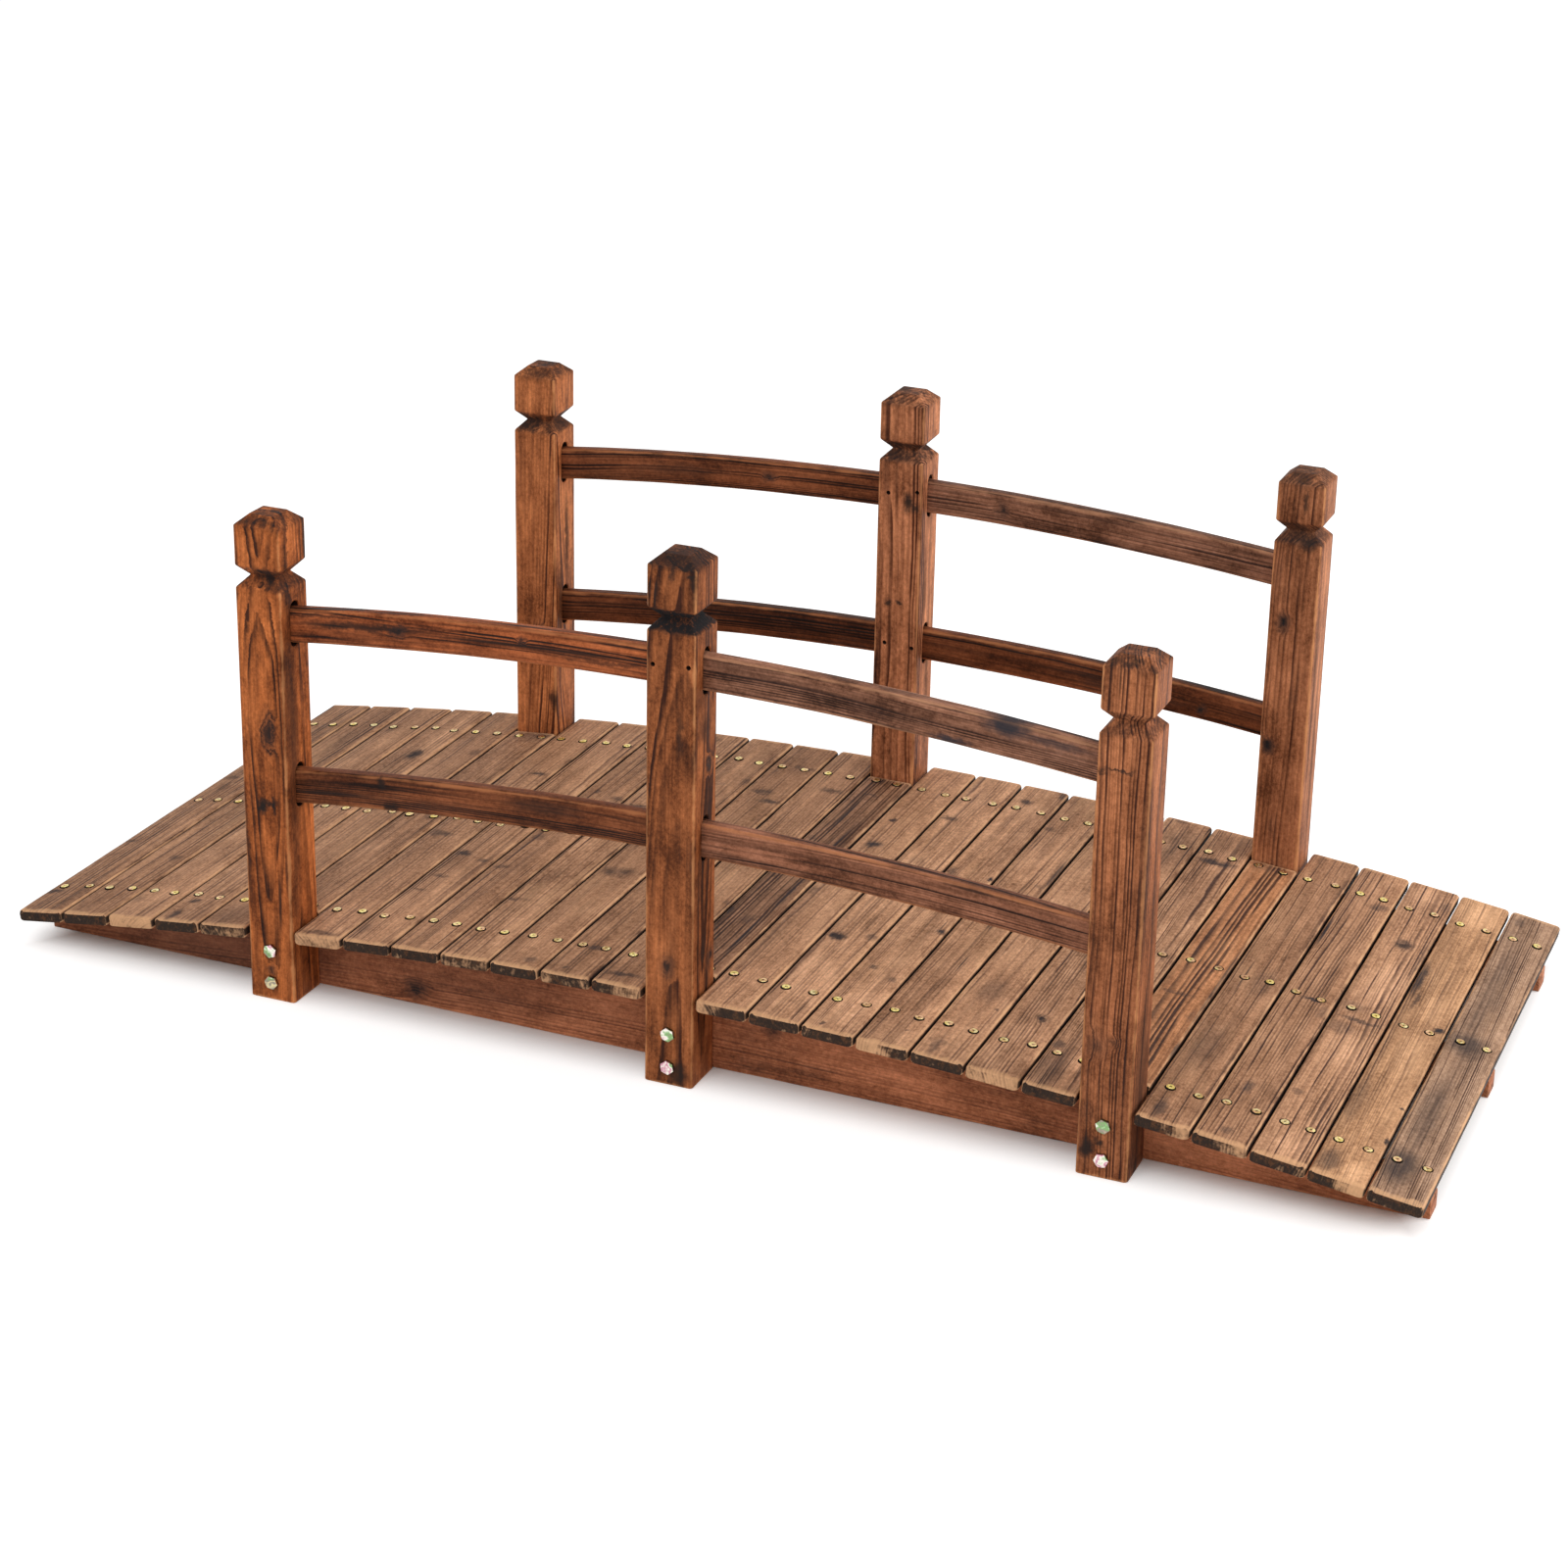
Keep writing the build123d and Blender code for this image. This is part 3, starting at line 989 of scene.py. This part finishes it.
# How far a board's ends are charred, where they aren't black all over, and whether more so to the right
# (above 0) or to the left (below 0)
end_chars = {
    3: (0.2, 0.0), 5: (0.8, 0.0), 7: (0.5, 0.0), 10: (0.85, 0.0), 12: (0.85, 0.0), 13: (0.8, -0.4),
    15: (0.85, 0.5), 18: (0.5, 0.7), 20: (0.35, 0.0), 23: (0.8, -0.4), 24: (0.8, -0.5), 26: (0.7, -0.7),
}
# Boards that stand out from the rest
board_changes = {
    14: {"Early Wood": srgb(190, 142, 110), "Tone": 0.66, "Grain Strength": 1.3, "Streaks": 1.8,
         "Scorch": 0.9},
    22: {"Early Wood": srgb(206, 142, 98), "Grain Strength": 1.2, "Ring Spacing": 5.6,
         "Pith": (0.0, 44.0, -16.0)},
    26: {"Early Wood": srgb(210, 158, 116), "Grain Strength": 0.4},
    27: {"Early Wood": srgb(200, 160, 130)},
}


def on_top(marks):
    """Marks given along and across a board, put on its upper face."""
    return [(along, across, board_thickness / MM / 2, *rest) for along, across, *rest in marks]


screws = []
for number in range(1, 28):
    # The boards were sawn well away from the pith, so their lines run straight
    look = {
        **board_look,
        "Pith": (0.0, draws.choice((-1, 1)) * draws.uniform(34, 90), -draws.uniform(4, 34)),
        "Tilt": (0.0, draws.uniform(-0.02, 0.02), 0.0),
        "Ring Spacing": draws.uniform(2.6, 4.4),
        "Seed": draws.uniform(1, 90),
        "Tone": deck_tones.get(number, 0.95),
        "Grain Strength": draws.uniform(0.35, 0.8),
        "Scorch": draws.uniform(0.2, 0.55),
        "Patches": draws.uniform(0.35, 0.7),
        "Streaks": draws.uniform(0.5, 0.95),
        "Pale": draws.uniform(0.0, 0.3),
        "Knots": [(*mark, 1.0, 0.6) for mark in on_top(deck_knots.get(number, []))],
        "Stain": on_top(deck_marks[number]),
        "Glow": on_top(deck_glows.get(number, [])),
    }
    look["End Black"], look["End Lean"] = end_chars.get(number, (1.1, 0.0))
    look.update(board_changes.get(number, {}))
    screws += deck_board(number, look)

stringer_look = {
    "Early Wood": srgb(184, 114, 78),
    "Late Wood": srgb(92, 50, 34),
    "Worn And Lit Colour": srgb(206, 146, 108),
    "Patches": 0.9,
    "Pith": (0.0, 60.0, -30.0),
    "Ring Spacing": 3.4,
    "Grain Strength": 0.4,
    "Edge Radius": 1.6,
    "Streaks": 0.55,
    "End Black": 0.25,
    # The stains over the left part and the glow at the right end are painted shade and painted light
    "Stain": [(-560, 0, 0, 200, 60, 0.45), (-240, 0, 0, 160, 50, 0.2)],
    "Glow": [(620, 0, 0, 200, 60, 0.5)],
}
stringer_knots = {
    "front": [(-310, -22, -14, 7), (90, 12, -14, 6)],
    "middle": [(-200, 4, -14, 6)],
    "back": [(240, 6, 14, 7)],
}
for number, (place, knots) in enumerate(stringer_knots.items()):
    stringer("stringer_" + place, {**stringer_look, "Seed": 11.0 + 7 * number, "Knots": knots})

rail_look = {
    "Early Wood": srgb(166, 98, 62),
    "Late Wood": srgb(48, 25, 18),
    "Worn And Lit Colour": srgb(196, 126, 80),
    "Stain Colour": srgb(40, 30, 27),
    "Tone": 0.94,
    "Worn And Lit Edges": 0.6,
    "Grain Strength": 1.0,
    "Streaks": 1.4,
    "Edge Radius": 3.4,
    "Patches": 1.1,
}
grey_brown = {
    "Early Wood": srgb(168, 116, 90),
    "Late Wood": srgb(66, 42, 34),
    "Worn And Lit Colour": srgb(204, 148, 110),
}
# What sets each rail apart. Places are along it from its middle towards the end post, upwards across it,
# and through it, where face is the side towards the front. A knot has a radius, and may have a stretch
# along the grain; a stain or glow has a half length, a half width and a strength.
face = -8.0
rail_changes = {
    "front_upper_left": {
        "Early Wood": srgb(180, 98, 56),
        "Tone": 0.84,
        "Streaks": 2.0,
        "Stain": [(120, 3, face, 80, 5, 0.85), (170, 12, face, 50, 3, 0.7), (-60, 0, face, 130, 1.9, 0.95),
                  (-150, -6, face, 60, 3, 0.7)],
        # This glow along the top is a painted highlight
        "Glow": [(-10, 18, 0, 90, 12, 0.8)],
        "Knots": [(81, 1, face, 3.5, 1.5), (-59, 5, face, 2.5)],
    },
    "front_upper_right": {
        **grey_brown,
        "Tone": 0.76,
        "Streaks": 1.3,
        "Stain Colour": srgb(50, 50, 56),
        "Stain": [(106, 14, face, 26, 12, 0.95), (106, 17, 0, 26, 12, 0.9), (150, 8, face, 44, 5, 0.6),
                  (54, -13, face, 20, 4, 0.85)],
        "Glow": [(40, 18, face, 60, 8, 1.2), (40, 18, 0, 60, 10, 1.0)],
    },
    "front_lower_left": {
        "Tone": 0.52,
        "Streaks": 2.0,
        "Stain": [(101, 12, face, 5, 9, 0.9), (94, -14, face, 9, 6, 0.95), (-80, 6, face, 45, 9, 0.6),
                  (160, -4, face, 60, 1.9, 0.9)],
        "Glow": [(30, -4, face, 40, 6, 0.6), (-150, 0, face, 25, 8, 0.4)],
    },
    "front_lower_right": {
        "Tone": 0.8,
        "Streaks": 1.2,
        "Early Wood": srgb(168, 110, 82),
        "Glow": [(-40, 16, face, 120, 7, 1.0)],
        "Stain": [(80, 14, face, 40, 1.9, 0.8)],
    },
    "back_upper_left": {
        "Tone": 0.58,
        "Knots": [(-60, 0, face, 3, 1.5)],
        "Stain": [(60, 0, face, 70, 7, 0.5)],
    },
    "back_upper_right": {**grey_brown, "Tone": 0.72, "Streaks": 1.3, "Knots": [(-111, 0, face, 4)]},
    "back_lower_left": {"Tone": 0.3},
    "back_lower_right": {"Tone": 0.4, "Knots": [(130, -6, face, 3)], "Stain": [(60, -6, face, 60, 6, 0.5)]},
}
for name, changes in rail_changes.items():
    rail("rail_" + name, {
        **rail_look,
        "Seed": draws.uniform(1, 90),
        "Pith": (0.0, draws.choice((-1, 1)) * draws.uniform(14, 40), draws.uniform(-20, 20)),
        "Tilt": (0.0, draws.uniform(-0.02, 0.02), draws.uniform(-0.02, 0.02)),
        "Ring Spacing": draws.uniform(2.6, 3.8),
        **changes,
    })

post_look = {
    "Early Wood": srgb(188, 112, 66),
    "Late Wood": srgb(72, 35, 20),
    "Worn And Lit Colour": srgb(226, 158, 104),
    "Grain Strength": 1.0,
    "Streaks": 0.8,
    "Stain Colour": srgb(42, 33, 30),
    "Worn And Lit Edges": 0.6,
    "Edge Radius": 3.0,
    "Patches": 1.05,
    "End Black": 0.3,
}
# What sets each post apart. Places are up it from its middle, along the bridge, where right is its right
# face, and through it, where face is its front one. The marks are given as for the rails; a knot may also
# have a darkness.
face = -26.0
right = 26.0
post_changes = {
    "front_left": {
        "Pith": (0.0, 1.0, -14.0),
        "Tilt": (0.0, 0.0, -0.055),
        "Ring Spacing": 5.6,
        "Neck Scorch": 0.65,
        "Early Wood": srgb(194, 108, 56),
        "Late Wood": srgb(60, 28, 14),
        "Grain Strength": 1.25,
        "Knot Swirl": 3.4,
        "Wander": 7.0,
        "Knots": [(37, 6, face, 5, 2.4), (-229, -2, face, 3.5), (206, 1, face, 19, 2.6, 0.0)],
        "Stain": [(-46, -3, face, 9, 6, 1.0), (-42, 10, face, 12, 3, 1.0), (-40, 3, face, 3, 14, 0.9),
                  (-150, 13, face, 36, 1.9, 0.8), (-112, 22, face, 30, 1.9, 0.7), (201, 8, face, 10, 18, 0.9),
                  (37, 6, face, 14, 9, 0.4), (-90, -23, face, 60, 3, 0.6), (20, right, -14, 220, 14, 0.55)],
        "Glow": [(236, 0, 0, 24, 40, 0.7), (60, -14, face, 40, 8, 0.5), (-100, 0, face, 40, 9, 0.4)],
    },
    "front_middle": {
        "Tone": 0.75,
        "Grain Strength": 1.1,
        "Pith": (0.0, 10.0, 6.0),
        "Tilt": (0.0, 0.03, 0.05),
        "Ring Spacing": 5.0,
        "Neck Scorch": 1.0,
        "Scorch": 0.7,
        "Wander": 9.0,
        "Knots": [(-147, -2, face, 4, 1.6), (-146, right, 15, 4, 1.5), (60, right, 8, 4, 1.5)],
        "Stain": [(100, 11, face, 26, 4, 0.6), (-262, 10, face, 16, 14, 0.9), (-150, 2, face, 60, 8, 0.3),
                  (268, 17, face, 3, 9, 0.95), (259, 21, face, 3, 6, 0.9), (262, 2, face, 12, 3, 0.8),
                  (250, 24, face, 14, 4, 0.7), (-160, right, 8, 30, 10, 0.5), (100, right, -5, 16, 14, 0.5),
                  (20, right, 5, 22, 8, 0.45)],
        "Glow": [(246, 0, 0, 20, 40, 0.5)],
    },
    "front_right": {
        "Early Wood": srgb(182, 112, 72),
        "Tone": 0.9,
        "Pith": (0.0, 84.0, 20.0),
        "Ring Spacing": 3.0,
        "Grain Strength": 0.75,
        "Neck Scorch": 0.55,
        "Knots": [(-124, -11, face, 6, 1.4, 0.55), (-119, 6, face, 3.5, 1.2, 0.5)],
        # The mark 200 below the middle across the whole right face is a painted shadow on the part behind the
        # deck
        "Stain": [(153, -4, face, 2.2, 18, 0.85), (150, -22, face, 3, 8, 0.7), (-234, -16, face, 14, 7, 0.95),
                  (-225, -5, face, 7, 6, 0.9), (-200, right, 0, 140, 26, 0.6), (240, -8, face, 16, 1.2, 0.6),
                  (60, right, -22, 110, 9, 0.45), (0, right, 10, 200, 5, 0.4)],
        "Glow": [(100, right, -10, 90, 12, 0.3)],
    },
    "back_left": {
        "Tone": 1.05,
        "Pith": (0.0, -14.0, 6.0),
        "Tilt": (0.0, 0.03, -0.02),
        "Ring Spacing": 3.0,
        "Neck Scorch": 0.78,
        "Knots": [(-60, 6, face, 5, 2)],
        "Stain": [(-136, 22, face, 14, 5, 0.8), (60, right, 4, 60, 4, 0.8), (-20, right, -12, 90, 5, 0.7),
                  (196, -8, face, 9, 20, 0.8)],
        "Glow": [(236, 0, 0, 24, 40, 0.8), (90, right, 4, 60, 16, 1.4), (-60, right, 2, 60, 16, 1.3),
                 (0, right, -4, 260, 16, 0.7)],
    },
    "back_middle": {
        "Early Wood": srgb(186, 118, 80),
        "Tone": 1.05,
        "Pith": (0.0, -30.0, 20.0),
        "Neck Scorch": 0.8,
        "Knots": [(-90, -8, face, 5, 1.6)],
        "Stain": [(36, -10, face, 5, 5, 0.9), (38, 3, face, 5, 5, 0.9), (155, 11, face, 12, 6, 0.95),
                  (150, 18, face, 8, 6, 0.8), (45, right, -8, 40, 8, 0.6), (-60, right, 8, 110, 3, 0.6)],
        "Glow": [(246, 0, 0, 22, 40, 0.9), (0, right, 4, 240, 20, 0.7), (20, right, 4, 50, 16, 1.5),
                 (125, right, 0, 40, 18, 1.4), (-90, right, 8, 40, 12, 1.2)],
    },
    "back_right": {
        "Early Wood": srgb(184, 118, 80),
        "Tone": 0.87,
        "Pith": (0.0, 40.0, -64.0),
        "Tilt": (0.0, 0.03, 0.0),
        "Grain Strength": 0.55,
        "Streaks": 0.6,
        "Neck Scorch": 0.7,
        "Knots": [(-46, -16, face, 4.5, 1.3), (97, -9, face, 4, 1.3)],
        "Stain": [(-46, -16, face, 9, 8, 0.8), (97, -9, face, 16, 7, 0.6), (190, 10, face, 12, 12, 0.85),
                  (236, 6, face, 16, 3, 0.8), (20, right, -12, 120, 5, 0.6), (-80, right, 6, 120, 3, 0.5)],
        "Glow": [(0, right, 4, 300, 24, 1.1), (-120, right, 8, 60, 16, 1.6), (40, right, 0, 60, 16, 1.6),
                 (150, right, 6, 40, 16, 1.5), (236, 10, 0, 24, 30, 0.5)],
    },
}
# Empty screw holes in the front faces of the middle posts: along the bridge and above the ground
screw_holes = {
    "front_middle": [(-18.6, 442), (18.5, 444)],
    "back_middle": [(-13.6, 439), (20.3, 443.6), (-13, 263), (19.5, 261)],
}
# Which faces of a post take rails, left (-1) or right (1), and the end of the bridge those rails are at
rail_ends = {"left": [(1, "left")], "middle": [(-1, "left"), (1, "right")], "right": [(-1, "right")]}
for side in ("front", "back"):
    for place, ends in rail_ends.items():
        name = f"{side}_{place}"
        look = {**post_look, "Seed": draws.uniform(1, 90), **post_changes[name]}
        bays = [(bay, [f"rail_{side}_{level}_{end}" for level in ("upper", "lower")]) for bay, end in ends]
        post("post_" + name, look, bays, screw_holes.get(name, []))

screw_colours = [srgb(222, 190, 92), srgb(250, 236, 160), srgb(232, 182, 146), srgb(190, 156, 84),
                 srgb(244, 228, 172)]
placed = []
for matrix, place in screws:
    turned = Matrix.Rotation(draws.uniform(0, math.tau), 4, "Z")
    placed.append(matrix @ Matrix.Translation(place) @ turned)
screw_metal = metal_material("screw_zinc", screw_colours, 0.3, (0.05, 0.9))
add_fasteners("deck_screws", [screw_template()], placed, screw_metal)

bolt_colours = [srgb(196, 122, 150), srgb(246, 242, 230), srgb(126, 170, 108), srgb(150, 138, 128),
                srgb(226, 214, 166)]
heads, nuts = [], []
inner_face = abs(screw_rows[0]) - stringer_high.y
for side, sign in (("front", -1), ("back", 1)):
    outward, inward = [Matrix.Rotation(math.radians(90 * turn), 4, "X") for turn in (-sign, sign)]
    for place in ("left", "middle", "right"):
        low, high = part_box(f"post_{side}_{place}")
        middle_x = (low.x + high.x) / 2
        outer_face = max(abs(low.y), abs(high.y))
        for height in bolt_heights:
            spin = Matrix.Rotation(draws.uniform(0, math.tau), 4, "Z")
            heads.append(Matrix.Translation((middle_x, sign * outer_face, height)) @ outward @ spin)
            nuts.append(Matrix.Translation((middle_x, sign * inner_face, height)) @ inward @ spin)
bolt_metal = metal_material("bolt_zinc", bolt_colours, 0.22, (0.7, 3.6))
add_fasteners("post_bolts", [bolt_template()], heads, bolt_metal)
add_fasteners("post_nuts", nut_templates(), nuts, bolt_metal)


# Floor, light and camera

def floor():
    """A wide white floor that keeps the object's shadow; under the bridge it is not lifted to white for the
    camera, a painted shade there.
    """
    bpy.ops.mesh.primitive_plane_add(size=60, location=(0, 0, -0.2 * MM))
    plane = bpy.context.object
    plane.name = "floor"
    material, g, shader = new_material("floor_white")
    shader["Base Color"].default_value = (0.86, 0.86, 0.86, 1)
    shader["Roughness"].default_value = 0.9
    shader["Specular IOR Level"].default_value = 0.0
    shader["Emission Color"].default_value = (1, 1, 1, 1)
    x, y, _ = g.split(g.position())
    high = cad_box[1]
    # Painted shade: the camera's whitening stops under the bridge, so the floor there and in the gaps stays
    # dark
    outside_painted_shade = g.largest(g.step(g.math("ABSOLUTE", x), high.x - 0.04, high.x + 0.01),
                       g.step(g.math("ABSOLUTE", y), high.y - 0.06, high.y + 0.01))
    g.feed(shader["Emission Strength"], g.seen_by("Camera", "Glossy") * outside_painted_shade * 0.55)
    plane.data.materials.append(material)


def softbox(name, place, size, power):
    """A square lamp of so many metres and watts that faces the bridge."""
    light = bpy.data.lights.new(name, "AREA")
    light.shape = "SQUARE"
    light.size = size
    light.energy = power
    lamp = add_object(name, light)
    lamp.location = place
    lamp.rotation_euler = (Vector((0, 0, 0.2)) - Vector(place)).to_track_quat("-Z", "Y").to_euler()


def surroundings():
    """Even white light from all round, white where the camera looks."""
    world = bpy.data.worlds.new("studio")
    world.use_nodes = True
    bpy.context.scene.world = world
    g = Graph(world.node_tree)
    background = world.node_tree.nodes["Background"].inputs
    background["Color"].default_value = (1, 1, 1, 1)
    g.feed(background["Strength"], 0.55 + g.seen_by("Camera", "Glossy", "Transmission") * 0.45)


def camera():
    """The photograph's own camera: about 3.6 m away, from the front and right, looking down."""
    azimuth, elevation, roll = 0.36997, 0.35462, 0.02768
    level = math.cos(elevation)
    back = Vector((math.sin(azimuth) * level, -math.cos(azimuth) * level, math.sin(elevation)))
    right = Vector((0, 0, 1)).cross(back).normalized()
    up = back.cross(right)
    turned_right = math.cos(roll) * right + math.sin(roll) * up
    turned_up = math.cos(roll) * up - math.sin(roll) * right
    matrix = Matrix((turned_right, turned_up, back)).transposed().to_4x4()
    matrix.translation = Vector((1.235926, -3.014556, 1.571337))
    data = bpy.data.cameras.new("camera")
    data.sensor_width = 36
    data.lens = 76.95
    data.shift_x = -0.05
    data.shift_y = -0.09375
    data.clip_end = 100
    made = add_object("camera", data)
    made.matrix_world = matrix
    bpy.context.scene.camera = made


floor()
surroundings()
softbox("key", (0.1, -3.0, 3.4), 2.2, 50)
softbox("fill", (3.2, 0.7, 1.8), 2.0, 56)
camera()
bpy.context.scene.view_settings.view_transform = "Standard"
